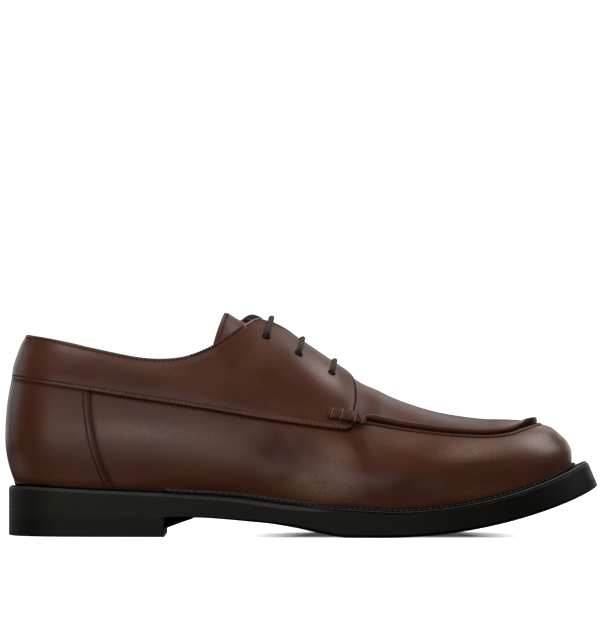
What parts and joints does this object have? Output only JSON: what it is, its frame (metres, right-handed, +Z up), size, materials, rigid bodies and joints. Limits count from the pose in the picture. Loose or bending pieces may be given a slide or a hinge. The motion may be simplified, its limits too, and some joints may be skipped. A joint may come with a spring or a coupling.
{
  "type": "elevator shoe",
  "caption": "Low lace-up leather shoe with moccasin toe, stitched welt and thick rubber sole with a low heel; right foot, raised inside.",
  "frame": {"origin": "middle of the shoe's bounding box, on the floor plane that heel and forefoot stand on", "axes": "+X from heel to toe, +Y to the inner (medial) side of this right shoe, +Z up"},
  "size_m": [0.3029, 0.111, 0.1142],
  "materials": {
    "leather": "polished, fine grain",
    "lining": "matte",
    "rubber": "satin",
    "lace": "round waxed cord"
  },
  "bodies": {
    "root": {"outsole": "rubber", "heel": "rubber", "welt": "rubber", "insole": "lining", "upper": "leather", "quarter_lateral": "leather", "quarter_medial": "leather", "counter": "leather", "apron": "leather", "tongue": "leather", "lace_bar_1": "lace", "lace_bar_2": "lace", "lace_bar_3": "lace"}
  },
  "joints": []
}
